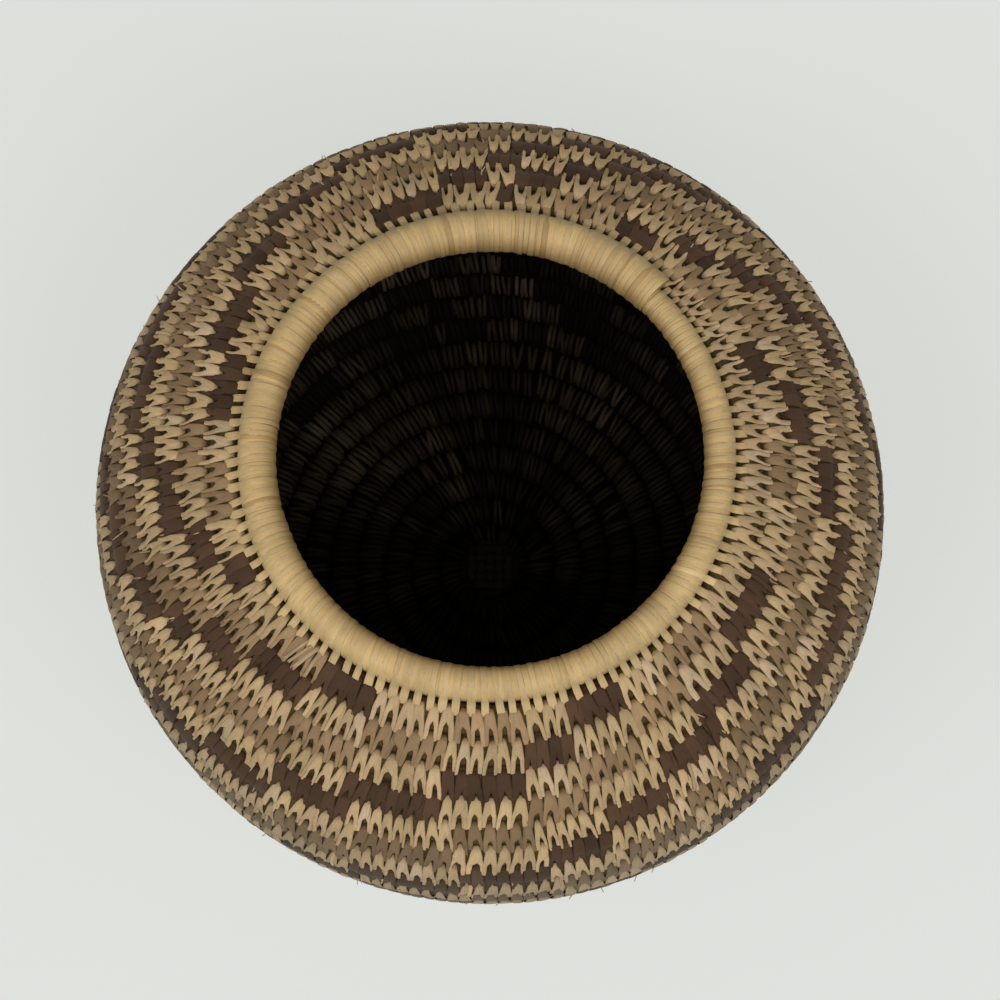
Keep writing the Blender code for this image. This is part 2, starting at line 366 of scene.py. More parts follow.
SECTION = np.array([[-0.5, 0.2], [-0.4, 0.8], [0.0, 1.0], [0.4, 0.8], [0.5, 0.2]])
INNER_SECTION = np.array([[-0.5, 0.1], [-0.3, 0.95], [0.3, 0.95], [0.5, 0.1]])
RIM_SECTION = np.array(
    [[-0.5, 0.66], [-0.43, 0.88], [-0.24, 0.97], [0.0, 1.0], [0.24, 0.97], [0.43, 0.88], [0.5, 0.66]]
)
MILLIMETRES_PER_METRE = 1000.0


def give_looks(mesh, tint, fibre):
    """Give each point what the materials read: its tint, and its place in the fibres in millimetres."""
    colours = np.ones((len(mesh.vertices), 4), np.float32)
    colours[:, :3] = np.broadcast_to(tint, fibre.shape).reshape(-1, 3)
    attribute = mesh.attributes.new("splint_tint", "FLOAT_COLOR", "POINT")
    attribute.data.foreach_set("color", colours.ravel())
    attribute = mesh.attributes.new("fibre", "FLOAT_VECTOR", "POINT")
    attribute.data.foreach_set("vector", fibre.astype(np.float32).ravel())


def add_piece(mesh, material, slot, *nodes):
    """Put a mesh in the scene as a piece of the basket, which may stand for CAD nodes."""
    mesh.materials.append(material)
    piece = bpy.data.objects.new(mesh.name, mesh)
    bpy.context.scene.collection.objects.link(piece)
    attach(piece, "root")
    if nodes:
        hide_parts(*nodes)


def strip_mesh(name, path, across, normal, width, thickness, tint, closed=False, section=SECTION):
    """One mesh of many strips, from points and directions along each and its sizes and tints."""
    count, steps, _ = path.shape
    sides = len(section)
    width = np.broadcast_to(width, (count, steps))[:, :, None]
    thickness = np.broadcast_to(thickness, (count, steps))[:, :, None]
    points = (
        path[:, :, None, :]
        + across[:, :, None, :] * section[:, :1] * width[..., None]
        + normal[:, :, None, :] * section[:, 1:] * thickness[..., None]
    )
    lengths = np.linalg.norm(np.diff(path, axis=1), axis=2)
    run = np.concatenate([np.zeros((count, 1)), np.cumsum(lengths, axis=1)], 1)
    fibre = np.empty((count, steps, sides, 3))
    fibre[..., 0] = section[:, 0] * width * MILLIMETRES_PER_METRE
    fibre[..., 1] = run[:, :, None] * MILLIMETRES_PER_METRE
    fibre[..., 2] = rng.random((count, 1, 1)) * 100.0
    index = np.arange(count * steps * sides).reshape(count, steps, sides)
    here = index if closed else index[:, :-1]
    there = np.roll(index, -1, 1) if closed else index[:, 1:]
    quads = np.stack([here, np.roll(here, -1, 2), np.roll(there, -1, 2), there], -1).reshape(-1, 4)
    loops = quads.ravel()
    starts = np.arange(len(quads)) * 4
    if not closed:
        caps = np.concatenate([index[:, 0, ::-1], index[:, -1, :]])
        starts = np.concatenate([starts, len(loops) + np.arange(len(caps)) * sides])
        loops = np.concatenate([loops, caps.ravel()])
    mesh = bpy.data.meshes.new(name)
    mesh.vertices.add(points.size // 3)
    mesh.vertices.foreach_set("co", points.astype(np.float32).ravel())
    mesh.loops.add(len(loops))
    mesh.loops.foreach_set("vertex_index", loops.astype(np.int32))
    mesh.polygons.add(len(starts))
    mesh.polygons.foreach_set("loop_start", starts.astype(np.int32))
    mesh.shade_smooth()
    give_looks(mesh, tint[:, :, None, :], fibre)
    mesh.update(calc_edges=True)
    mesh.validate()
    return mesh


def tube_mesh(name, points, tint, angle, run):
    """A closed tube of grass from its rings of points."""
    steps, sides, _ = points.shape
    index = np.arange(steps * sides).reshape(steps, sides)
    here, there = index[:-1], index[1:]
    quads = np.stack([here, there, np.roll(there, -1, 1), np.roll(here, -1, 1)], -1).reshape(-1, 4)
    caps = [index[0].tolist(), index[-1, ::-1].tolist()]
    mesh = bpy.data.meshes.new(name)
    mesh.from_pydata(points.reshape(-1, 3).tolist(), [], quads.tolist() + caps)
    mesh.shade_smooth()
    fibre = np.zeros((steps, sides, 3))
    fibre[..., 0] = angle * 4.0
    fibre[..., 1] = run
    give_looks(mesh, tint, fibre)
    mesh.update()
    return mesh


# Materials.

# Noise cells per millimetre across and along a splint, and how the noises shade it.
FIBRE_FINENESS = (5.0, 0.35)
BLOTCH_SCALE = 90.0
NOISE_RANGE = (0.3, 0.7)
BLOTCH_RANGE = (0.86, 1.12)
ROUGHNESS_SPREAD = 0.08
BUMP_DEPTH = 0.00012


def noise(tree, points, **values):
    """Cloudy noise at the points, with values on its sockets of those names."""
    made = tree.nodes.new("ShaderNodeTexNoise")
    for socket, value in values.items():
        made.inputs[socket].default_value = value
    tree.links.new(points, made.inputs["Vector"])
    return made.outputs["Fac"]


def ranged(tree, source, from_range, to_range):
    """A value carried over from one range to another and held at its ends."""
    made = tree.nodes.new("ShaderNodeMapRange")
    sockets = ("From Min", "From Max", "To Min", "To Max")
    for socket, value in zip(sockets, from_range + to_range):
        made.inputs[socket].default_value = value
    tree.links.new(source, made.inputs["Value"])
    return made.outputs["Result"]


def combined(tree, kind, operation, first, second, output="Value"):
    """One step of arithmetic on a socket with another socket or with a plain value."""
    made = tree.nodes.new(kind)
    made.operation = operation
    tree.links.new(first, made.inputs[0])
    if isinstance(second, bpy.types.NodeSocket):
        tree.links.new(second, made.inputs[1])
    else:
        made.inputs[1].default_value = second
    return made.outputs[output]


def scaled(tree, colour, factor):
    """A colour times a value."""
    made = tree.nodes.new("ShaderNodeVectorMath")
    made.operation = "SCALE"
    tree.links.new(colour, made.inputs[0])
    tree.links.new(factor, made.inputs["Scale"])
    return made.outputs["Vector"]


def splint_material(name, roughness, streak, bump, scale=1.0, gloss=0.15):
    """Dry split leaf or stem: a tint for each splint, long fibres, blotches and a fine bump."""
    material = bpy.data.materials.new(name)
    material.use_nodes = True
    tree = material.node_tree
    shader = tree.nodes["Principled BSDF"]
    shader.inputs["Specular IOR Level"].default_value = gloss
    tint = tree.nodes.new("ShaderNodeAttribute")
    tint.attribute_name = "splint_tint"
    fibre = tree.nodes.new("ShaderNodeAttribute")
    fibre.attribute_name = "fibre"
    place_in = tree.nodes.new("ShaderNodeTexCoord").outputs["Object"]

    across, along = FIBRE_FINENESS
    cells = (across * scale, along * scale, 1.0)
    stretched = combined(
        tree, "ShaderNodeVectorMath", "MULTIPLY", fibre.outputs["Vector"], cells, "Vector"
    )
    fine = noise(tree, stretched, Scale=1.0, Detail=3.0, Roughness=0.6)
    blotch = noise(tree, place_in, Scale=BLOTCH_SCALE, Detail=4.0, Roughness=0.65)

    streaks = ranged(tree, fine, NOISE_RANGE, (1.0 - streak, 1.0 + streak))
    colour = scaled(tree, tint.outputs["Color"], streaks)
    colour = scaled(tree, colour, ranged(tree, blotch, NOISE_RANGE, BLOTCH_RANGE))
    tree.links.new(colour, shader.inputs["Base Color"])
    rough_range = (roughness - ROUGHNESS_SPREAD, roughness + ROUGHNESS_SPREAD)
    tree.links.new(ranged(tree, fine, NOISE_RANGE, rough_range), shader.inputs["Roughness"])
    ridges = tree.nodes.new("ShaderNodeBump")
    ridges.inputs["Strength"].default_value = bump
    ridges.inputs["Distance"].default_value = BUMP_DEPTH
    tree.links.new(fine, ridges.inputs["Height"])
    tree.links.new(ridges.outputs["Normal"], shader.inputs["Normal"])
    return material


# The grass bundle inside the coil.

GRASS_STEPS_PER_TURN = 96
GRASS_SIDES = 14
GRASS_RIPPLE = 0.02
GRASS_RIPPLES_PER_TURN = 37.0
GRASS_LOWEST = 0.0005
GRASS_EASE = 0.0008
MEAN_RADIUS_MM = 90.0


def grass_coil(name, first, last, material):
    """The grass bundle of a stretch of coil, oval so that its rows touch."""
    turns = np.linspace(first, last, int((last - first) * GRASS_STEPS_PER_TURN) + 2)[:, None]
    middle, width = coil_course(turns)
    angle = full_circle(GRASS_SIDES)
    ripple = np.sin(turns * 2.0 * math.pi * GRASS_RIPPLES_PER_TURN + angle * 2.0)
    wobble = 1.0 + GRASS_RIPPLE * ripple
    along = (width / 2.0 + GRASS_OVERLAP) * np.cos(angle)
    share = np.clip(width / PITCH, 0.5, 1.0)
    bulge = np.sign(np.sin(angle)) * np.abs(np.sin(angle)) ** 0.8
    points = place(middle + along, turns, GRASS_HALF_THICKNESS * share * bulge * wobble)
    worn_flat(points, GRASS_LOWEST, GRASS_EASE)
    # The bundle's half towards the inside is painted near black as painted shade.
    tint = np.where((np.sin(angle) < 0.0)[:, None], SHADED_INSIDE_GRASS, SHADED_GRASS)
    mesh = tube_mesh(name + "_grass", points, tint, angle, turns * 2.0 * math.pi * MEAN_RADIUS_MM)
    add_piece(mesh, material, "beargrass", name)


# Stitches on the outside.

# A stitch is a main strip, with one leg, over a second strip with the other leg. Edges are shares of
# half the space between stitches, at the knots from the stitch's start near the rim to its end.
STITCH_STEPS = np.array(
    [0.0, 0.02, 0.05, 0.1, 0.17, 0.26, 0.36, 0.42, 0.46, 0.50, 0.55, 0.68, 0.83, 0.92, 1.0]
)
SHAPE_KNOTS = (0.0, 0.02, 0.05, 0.14, 0.25, 0.36, 0.43, 0.49, 0.55, 0.833, 0.917, 1.0)
OUTER_EDGES = {
    "L": (0.34, 0.52, 0.65, 0.81, 0.90, 0.96, 1.00, 1.03, 1.06, 1.08, 1.06, 1.00),
    "B": (0.35, 0.54, 0.69, 0.86, 0.95, 1.00, 1.03, 1.05, 1.07, 1.09, 1.06, 1.00),
    "D": (0.50, 0.74, 0.90, 1.04, 1.10, 1.10, 1.10, 1.10, 1.10, 1.10, 1.06, 1.00),
}
MAIN_INNER_EDGES = {
    "L": (-0.31, -0.47, -0.59, -0.73, -0.80, -0.62, -0.10, 0.16, 0.31, 0.40, 0.47, 0.58),
    "B": (-0.33, -0.50, -0.64, -0.79, -0.86, -0.76, -0.40, 0.00, 0.29, 0.39, 0.465, 0.59),
    "D": (-0.46, -0.70, -0.85, -0.98, -1.02, -1.02, -1.02, -0.98, -0.20, 0.26, 0.42, 0.58),
}
SECOND_INNER_EDGES = {
    "L": (-0.10, -0.10, -0.10, -0.10, -0.10, -0.08, 0.03, 0.18, 0.31, 0.40, 0.47, 0.58),
    "B": (-0.10, -0.10, -0.10, -0.10, -0.10, -0.09, 0.01, 0.14, 0.29, 0.39, 0.465, 0.59),
    "D": (-0.10, -0.10, -0.10, -0.10, -0.10, -0.10, -0.10, -0.10, -0.05, 0.26, 0.42, 0.58),
}
THICKNESS_SHARES = {"L": 1.0, "B": 0.85, "D": 0.7}
SHAPE_LOOSENESS = {"L": 1.0, "B": 0.5, "D": 0.5}

# Colour letters with the word for each in names of pieces, and its slot.
STITCH_KINDS = (
    ("L", "light", "light_yucca"),
    ("B", "brown", "patterned_splints"),
    ("D", "dark", "patterned_splints"),
)

# Where a stitch starts in its row and ends in the next, as shares of a row, and the hand's scatter.
STITCH_START = 0.05
STITCH_START_UNDER_RIM = 0.06
STITCH_START_SCATTER = 0.025
STITCH_END = 0.29
STITCH_END_SCATTER = 0.05
LEAN_SCATTER = 0.12
MAIN_LEG_BEFORE_SHARE = 0.7
SLIM_SCATTER = 0.06
OUTER_SCATTER = 0.05
LEG_SCATTER = 0.09
LEG_START = 0.42
LEG_EASE = 0.08

# How deep a stitch dives at its start and end, and how its strips lie over each other.
START_DIP = 0.0008
END_DIP = 0.0011
MAIN_STRIP_RISE = 0.00012
RISE_SCATTER = 0.00016
NARROWEST_STRIP = 0.0004
STITCH_LOWEST = 0.00045


def by_letter(letters, table):
    """A row of values for each stitch, from a table by colour letter."""
    return np.array([table[letter] for letter in letters]).reshape(len(letters), -1)


def edges_by_letter(letters, table):
    """The edge shares of each stitch at its steps."""
    shares = {letter: np.interp(STITCH_STEPS, SHAPE_KNOTS, knots) for letter, knots in table.items()}
    return by_letter(letters, shares)


def half_spaces(places):
    """Half the space on each side of every stitch of a run."""
    before = np.concatenate([[2 * places[0] - places[1]], places[:-1]])
    after = np.concatenate([places[1:], [2 * places[-1] - places[-2]]])
    return np.abs(before - places) / 2.0, np.abs(after - places) / 2.0


def outer_stitches(turns, ends, letters):
    """Paths, axes, widths and thicknesses of the two strips of each outer stitch."""
    q = STITCH_STEPS
    size = turns.shape
    start_halves, end_halves = half_spaces(turns), half_spaces(ends)
    middle, width = coil_course(turns)
    first = np.where(turns > TURNS - 1, STITCH_START_UNDER_RIM, STITCH_START)
    first = first + rng.normal(0.0, STITCH_START_SCATTER, size)
    last = 1.0 + (STITCH_END + rng.normal(0.0, STITCH_END_SCATTER, size)) * PITCH / width
    lean = rng.normal(0.0, LEAN_SCATTER, size)
    hand = np.where(rng.random(size) < MAIN_LEG_BEFORE_SHARE, -1.0, 1.0)
    loose = by_letter(letters, SHAPE_LOOSENESS)
    slimming = np.abs(rng.normal(0.0, SLIM_SCATTER, size))
    slim = 1.0 - loose * slimming * (1.0 - smooth_step(q * 1.5))
    v = first + (last - first) * q
    distance = middle + (0.5 - v) * width

    # A thin row lies low, and its stitches rise to full height where they reach the next row.
    over_next = v + np.maximum(v - 1.0, 0.0) * (width / PITCH - 1.0)
    full = np.clip(width / PITCH, THIN_ROW_HEIGHT, 1.0)
    base_height = crown(over_next) * (full + (1.0 - full) * smooth_step((v - 0.75) / 0.4))
    dip = START_DIP * (1.0 - smooth_step(q / 0.10)) + END_DIP * smooth_step((q - 0.91) / 0.09)
    leg = smooth_step((q - LEG_START) / LEG_EASE)

    result = []
    main = (MAIN_INNER_EDGES, hand, MAIN_STRIP_RISE)
    second = (SECOND_INNER_EDGES, -hand, 0.0)
    for inner_edges, side, rise in (main, second):
        half_start = np.where(side > 0, start_halves[0], start_halves[1])
        half_end = np.where(side > 0, end_halves[0], end_halves[1])
        outer = edges_by_letter(letters, OUTER_EDGES) * slim
        outer = outer * (1.0 - 0.5 * (1.0 - full) * (1.0 - q))
        outer = outer + loose * rng.normal(0.0, OUTER_SCATTER, size)
        inner = edges_by_letter(letters, inner_edges)
        inner = inner + loose * rng.normal(0.0, LEG_SCATTER, size) * leg
        half = half_start * (1.0 - q) + half_end * q
        centre = turns * (1.0 - q) + ends * q + lean * half * (1.0 - q)
        where = centre + side * half * (outer + inner) / 2.0
        strip = np.maximum((outer - inner) * half * metres_round(distance), NARROWEST_STRIP)
        height = base_height - dip + rng.random(size) * RISE_SCATTER + rise
        path = place(distance, where, height)
        across, normal = wall_axes(distance, where)
        thick = rng.uniform(0.8, 1.2, size) * SPLINT_THICKNESS * by_letter(letters, THICKNESS_SHARES)
        result.append((path, across, normal, strip, thick))
    return result


# How the stitches' colours vary, grey and darken on the belly, partly as painted shade, and darken on
# the base.
PALE_SHARE = 0.10
YELLOWEST = 0.6
LIGHT_PATCHES = 0.07
BROWN_PATCHES = 0.2
SHADE_SCATTER = 0.08
ROWS_FROM_RIM = (0.5, 2.0, 5.0)
BROWN_BY_ROW = (1.25, 1.10, 0.80)
GREYING = 0.5
SIDE_DARKENING = 0.16
BASE_DARKENING = 0.25


def splint_colours(letters, turns):
    """Each stitch's own colour: mixed light splints, browns paler near the rim, and darks."""
    mix = rng.random(turns.shape)
    pale = rng.random(turns.shape) < PALE_SHARE
    light = LIGHT * (1.0 - YELLOWEST * mix) + YELLOW * YELLOWEST * mix
    light = np.where(pale, PALE, light)
    light = light * (1.0 + LIGHT_PATCHES * value_noise(turns * 1.37, 11))
    brown = BROWN * (0.88 + 0.24 * mix) * (1.0 + BROWN_PATCHES * value_noise(turns * 0.83, 23))
    brown = brown * np.interp(TURNS - turns, ROWS_FROM_RIM, BROWN_BY_ROW)
    dark = DARK * (0.75 + 0.6 * mix)
    is_light = (letters == "L")[:, None]
    is_brown = (letters == "B")[:, None]
    tint = np.where(is_light, light, np.where(is_brown, brown, dark))
    return tint * rng.normal(1.0, SHADE_SCATTER, turns.shape)


def stitch_tints(letters, turns):
    """Colours along stitches: greyed and darkened on the belly and below, partly painted shade, and
    darker where they go in.
    """
    q = STITCH_STEPS
    tint = splint_colours(letters, turns)
    slope = np.degrees(wall_point(coil_course(turns)[0])[2])
    # Greyer on the belly and below, by the wall's slope: partly weathering, partly painted shade.
    side = GREYING * smooth_step((128.0 - slope) / 40.0)
    grey = GREY * (tint.mean(1, keepdims=True) / 0.2) ** 0.5
    tint = tint * (1.0 - side) + grey * side
    # Darker on the base, where the wall faces down, and darker on the belly's side as painted shade.
    low = smooth_step((50.0 - slope) / 30.0)
    tint = tint * (1.0 - BASE_DARKENING * low) * (1.0 - SIDE_DARKENING * side)
    ends = np.minimum(smooth_step(q / 0.12 + 0.2), smooth_step((1.0 - q) / 0.10 + 0.2))
    return tint[:, None] * (0.72 + 0.28 * ends)[:, None]


def main_stitches(materials):
    """All stitches, as pieces by stretch of coil, colour and side of the wall."""
    turns, ends = spread_stitches()
    letters = block_colour(turns)
    sides = outer_stitches(turns[:, None], ends[:, None], letters)
    for name, first, last in coil_sections():
        here = (turns > first) & (turns <= last)
        for letter, word, slot in STITCH_KINDS:
            chosen = here & (letters == letter)
            if not chosen.any():
                continue
            parts = [[values[chosen] for values in side] for side in sides]
            path, across, normal, strip, thick = (np.concatenate(both) for both in zip(*parts))
            worn_flat(path, STITCH_LOWEST)
            tint = stitch_tints(letters[chosen], turns[chosen, None])
            tint = np.concatenate([tint, tint * rng.normal(0.97, 0.05, (len(tint), 1, 1))])
            mesh = strip_mesh(f"{name}_{word}_stitches", path, across, normal, strip, thick, tint)
            low = name in ("base_coil", "heel_coil")
            add_piece(mesh, materials[letter], "worn_yucca" if low else slot)
        mesh = inner_stitches(f"{name}_inner_stitches", turns[here, None], letters[here])
        add_piece(mesh, materials["inside"], "worn_yucca")


# Stitches on the inside, painted nearly black as painted shade, with a painted patch of light on one
# side.

INNER_STEPS = 7
INNER_SHADES = {"L": 3.6, "B": 1.2, "D": 0.5}
INNER_PATCHES = 0.9
LIT_SIDE_ANGLE = 238.0
LIT_SIDE_SHARE = 0.5
INNER_STRIP_WIDTH = 0.00125
INNER_HALF_GAP = 0.00084
INNER_CLOSING = 0.0002
INNER_SLANT = -0.0003


def inner_stitches(name, turns, letters):
    """A mesh of the two strips of each stitch on the inside of the wall."""
    q = np.linspace(0.0, 1.0, INNER_STEPS)
    share = by_letter(letters, INNER_SHADES)
    share = share * np.exp(INNER_PATCHES * value_noise(turns * 1.3, 17))
    share = share * rng.uniform(0.6, 1.4, turns.shape)
    # Painted light: stitches on the inside are brighter towards the side where light falls in through
    # the mouth.
    from_lit_side = np.radians(clockwise_angle(turns) - LIT_SIDE_ANGLE)
    share = share * (1.0 + LIT_SIDE_SHARE * np.cos(from_lit_side))
    turns = np.repeat(turns, 2, axis=0)
    size = turns.shape
    share = np.repeat(share, 2, axis=0) * rng.uniform(0.8, 1.2, size)
    side = np.where(np.arange(len(turns)) % 2 == 0, 1.0, -1.0)[:, None]
    middle, width = coil_course(turns)
    v = 0.02 + rng.normal(0.0, 0.03, size) + q
    distance = middle + (0.5 - v) * width
    apart = side * (INNER_HALF_GAP - INNER_CLOSING * q) + rng.normal(0.0, 0.0001, size)
    slant = (INNER_SLANT + rng.normal(0.0, 0.0003, size)) * (2.0 * q - 1.0)
    where = turns + (apart + slant) / metres_round(distance)
    dip = 0.0008 * (1.0 - np.minimum(smooth_step(q / 0.2), smooth_step((1.0 - q) / 0.2)))
    height = crown(v) * np.clip(width / PITCH, THIN_ROW_HEIGHT, 1.0) - dip
    path = place(distance, where, -height)
    across, out = wall_axes(distance, where)
    strip = INNER_STRIP_WIDTH * rng.uniform(0.75, 1.2, size)
    # Painted shade: the inside gets darker deeper down in the basket.
    upper = smooth_step((turns - 14.0) / 8.0)
    tint = SHADED_INSIDE * (share * (0.45 + 0.55 * upper))
    tint = tint[:, None] * (0.6 + 0.4 * np.sin(math.pi * q))[:, None]
    return strip_mesh(name, path, -across, -out, strip, SPLINT_THICKNESS, tint, section=INNER_SECTION)


# Light stitches that cross others on their way, and frayed ends that stand off the wall.

LOOSE_STEPS = 10
CROSSING_START = 0.06
CROSSING_REACH = 1.1
CROSSING_SLANT = 0.0018
CROSSING_RISE = 0.00042
CROSSING_THICKNESS = 0.0003
FRAYED_SLANT = 0.0012
FRAYED_THICKNESS = 0.00016


def loose_stitches(material):
    """The crossing stitches, of which the first are the long ones near the rim, and the frayed ends."""
    crossing = rng.uniform(TURNS - 13.0, TURNS - 1.0, 6 * CROSSING_STITCHES)
    crossing = crossing[block_colour(crossing) == "L"][:CROSSING_STITCHES]
    crossing[: len(LONG_STITCHES)] = TURNS - (SEAM_ANGLE + LONG_STITCHES[:, 0]) / 360.0
    frayed = rng.uniform(TURNS - 16.0, TURNS - 1.0, FRAYED_ENDS)
    turns = np.concatenate([crossing, frayed])[:, None]
    is_frayed = np.arange(len(turns))[:, None] >= CROSSING_STITCHES
    size = turns.shape
    q = np.linspace(0.0, 1.0, LOOSE_STEPS)
    middle, width = coil_course(turns)
    first = np.where(is_frayed, rng.uniform(0.2, 0.9, size), CROSSING_START)
    reach = np.where(is_frayed, rng.uniform(0.2, 0.5, size), CROSSING_REACH)
    v = first + reach * q
    distance = middle + (0.5 - v) * width
    frayed_slant = rng.normal(0.0, FRAYED_SLANT, size)
    slant = np.where(is_frayed, frayed_slant, rng.normal(0.0, CROSSING_SLANT, size))
    slant[: len(LONG_STITCHES)] = LONG_STITCHES[:, 1:]
    where = turns + slant * q / metres_round(distance)

    ends = 0.001 * (1.0 - smooth_step(q / 0.1)) + 0.001 * smooth_step((q - 0.88) / 0.12)
    over = np.maximum(crown(v), CREST_HEIGHT - 0.0005) + CROSSING_RISE - ends
    lifted = rng.uniform(0.0008, 0.0022, size) * q**1.6
    height = np.where(is_frayed, crown(v) - 0.0004 + lifted, over)
    path = place(distance, where, height)
    across, normal = wall_axes(distance, where)
    frayed_width = rng.uniform(0.0003, 0.0008, size) * (1.0 - 0.6 * q)
    strip = np.where(is_frayed, frayed_width, rng.uniform(0.0008, 0.0012, size))
    thick = np.where(is_frayed, FRAYED_THICKNESS, CROSSING_THICKNESS)
    tint = (LIGHT * rng.uniform(0.75, 1.05, size))[:, None]
    mesh = strip_mesh("loose_stitches", path, across, normal, strip, thick, tint)
    add_piece(mesh, material, "light_yucca")


# The rim: angles go round its hoop, from 0 towards the mouth over 90 on top.

# Painted shade round the rim's hoop: shares of the straw's colour by angle round the hoop.
RIM_SHADE_ANGLES = (-60.0, 0.0, 25.0, 50.0, 80.0, 100.0, 125.0, 150.0)
RIM_PAINTED_SHADES = (0.42, 0.53, 0.73, 0.92, 1.02, 0.94, 0.82, 0.74)
BROWNED = np.array([0.0, 0.07, 0.16])
# Painted shade: the outer zone of the rim's far side is darker.
FAR_SIDE_DARKENING = 0.24
ODD_SHARE = 0.05
ODD_STRAW = np.array([0.80, 0.74, 0.66])
PALE_STRAW_FROM = 0.94
PALE_STRAW = np.array([1.10, 1.12, 1.2])
COOLER = np.array([0.95, 0.97, 1.03])
WRAP_OVERLAP = 1.44
WRAP_INSET = 0.00032
WRAP_THICKNESS = 0.00030
WRAP_STEPS = 24
TOOTH_RISE = 0.00008
TOOTH_WIDTH = 0.00212
TOOTH_WIDTH_SCATTER = 0.00018
TOOTH_BEND_STEPS = 20
RIM_GRASS_INSET = 0.00030
RIM_GRASS_RINGS = 120
RIM_GRASS_SIDES = 24
RIM_LENGTH_MM = 340.0

# A tooth's way down from the rim: shares of the last row's width, and heights off the wall's middle.
TOOTH_DOWN = np.array([0.03, 0.10, 0.18, 0.27, 0.34, 0.38])
TOOTH_HEIGHTS = np.array([0.00275, 0.0028, 0.0028, 0.0028, 0.0026, 0.0017])


def rim_shade_and_browning(angle, turn):
    """Painted shade round the rim's hoop: darkest towards the mouth, lightest on top, darker on the far
    side's outer zone; browner towards the mouth.
    """
    angle = np.degrees(angle)
    angle = np.where(angle > 210.0, angle - 360.0, angle)
    shade = np.interp(angle, RIM_SHADE_ANGLES, RIM_PAINTED_SHADES)
    brown = 1.0 - smooth_step((angle - 10.0) / 50.0)
    far = np.maximum(0.0, np.sin(angle_round(turn)))
    shade = shade * (1.0 - FAR_SIDE_DARKENING * far * smooth_step((angle - 75.0) / 55.0))
    return shade[..., None] * (1.0 - brown[..., None] * BROWNED)


def rim_splints():
    """Place, size, slant and tint of the rim's wraps and of its teeth, in the order they are wound."""
    count = RIM_TEETH * WRAPS_PER_TOOTH
    size = (count, 1)
    part = (np.arange(count)[:, None] + 0.5) / count + rng.normal(0.0, 0.07, size) / count
    part = np.clip(part, 0.0005, 0.9995)
    share = 1.0 + rng.normal(0.0, 0.07, size)
    distance, width = rim_course(part)
    hoop = (width - COIL_GAP) / 2.0 + 0.00014 * value_noise(part, 31)
    lift = rng.normal(0.0, 0.00004, size) - 0.00013 * (rng.random(size) < 0.05)
    slant = 0.0007 * (0.5 + value_noise(part, 37)) + rng.normal(0.0, 0.00012, size)
    tint = STRAW * (rng.normal(1.0, 0.05, size) * (1.0 + 0.05 * value_noise(part, 41)))
    odd = rng.random(size)
    tint = np.where(odd < ODD_SHARE, tint * ODD_STRAW, tint)
    tint = np.where(odd > PALE_STRAW_FROM, tint * PALE_STRAW, tint)
    splints = {
        "part": part,
        "distance": distance,
        "width": width,
        "radius": hoop - WRAP_INSET + lift,
        "slant": slant,
        "strip": metres_round(distance) / count * share * WRAP_OVERLAP,
        "tint": tint[:, None],
    }
    is_tooth = np.arange(count) % WRAPS_PER_TOOTH == 1
    wraps = {key: values[~is_tooth] for key, values in splints.items()}
    teeth = {key: values[is_tooth] for key, values in splints.items()}
    return wraps, teeth


def rim_wraps(wraps, material):
    """The splints wound round the rim, as closed rings."""
    angle = full_circle(WRAP_STEPS)
    distance, radius = wraps["distance"], wraps["radius"]
    along = distance + radius * np.cos(angle)
    turn = wraps["part"] - wraps["slant"] * np.cos(angle) / metres_round(distance)
    path = place(along, turn, radius * np.sin(angle))
    across, normal = rim_axes(distance, turn, angle)
    strip = wraps["strip"] * (wall_point(along)[0] / wall_point(distance)[0])
    # Painted shade round the hoop.
    tint = wraps["tint"] * rim_shade_and_browning(angle, wraps["part"])
    mesh = strip_mesh(
        "rim_wraps", path, across, normal, strip, WRAP_THICKNESS, tint, True, RIM_SECTION
    )
    add_piece(mesh, material, "straw_splints", "rim_binding")


